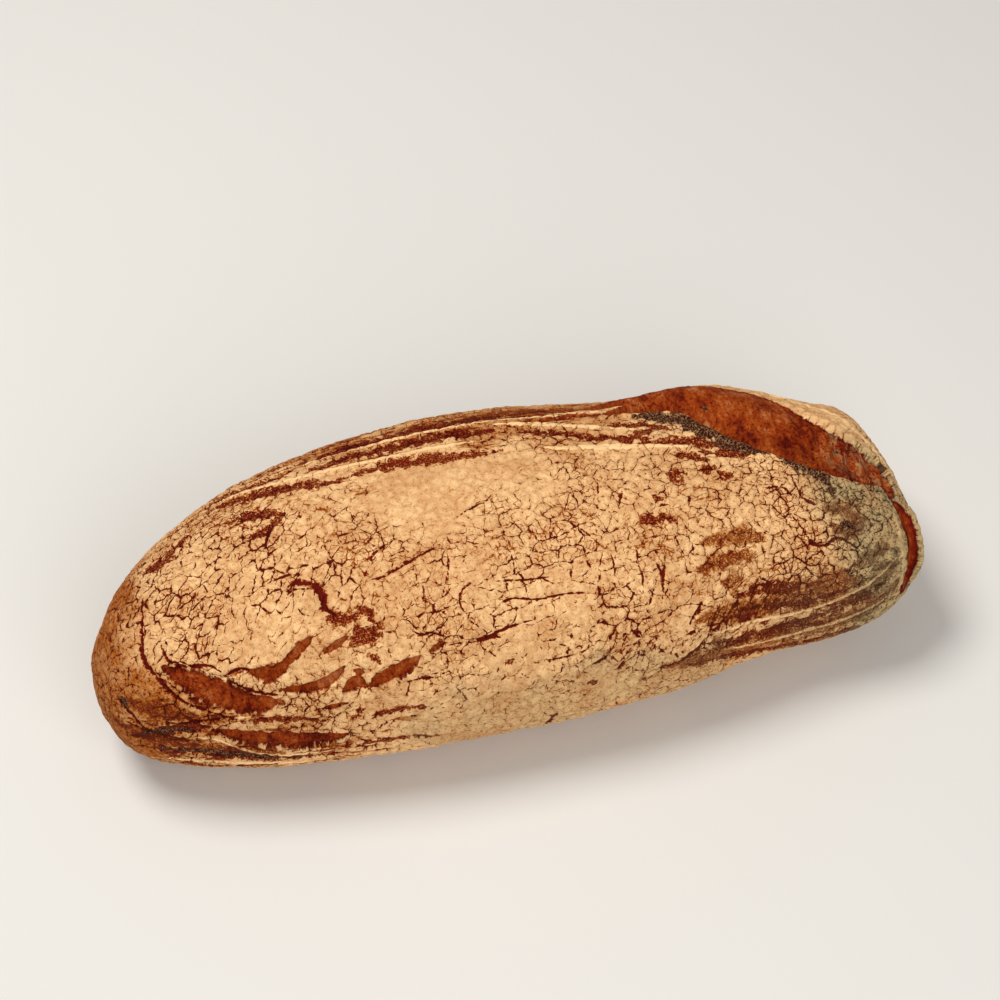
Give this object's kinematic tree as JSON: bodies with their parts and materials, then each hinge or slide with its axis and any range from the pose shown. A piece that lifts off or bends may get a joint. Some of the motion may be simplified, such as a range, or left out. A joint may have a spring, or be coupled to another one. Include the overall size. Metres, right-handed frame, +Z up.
{
  "type": "bread roll",
  "caption": "Long rustic bread roll, round at one end and pinched at the other, with a floured, crackled crust torn open along its back shoulder.",
  "frame": {"origin": "under the middle of the roll, on the surface that its flat underside rests on", "axes": "+X along the roll from the round end to the pinched tip, +Y across it towards the torn shoulder, +Z up"},
  "size_m": [0.2, 0.0832, 0.0558],
  "materials": {
    "crust": "matte flour-dusted baked crust, cream over red-brown, with bare brown torn dough in the open seam"
  },
  "bodies": {
    "root": {"bread_roll": "crust"}
  },
  "joints": []
}
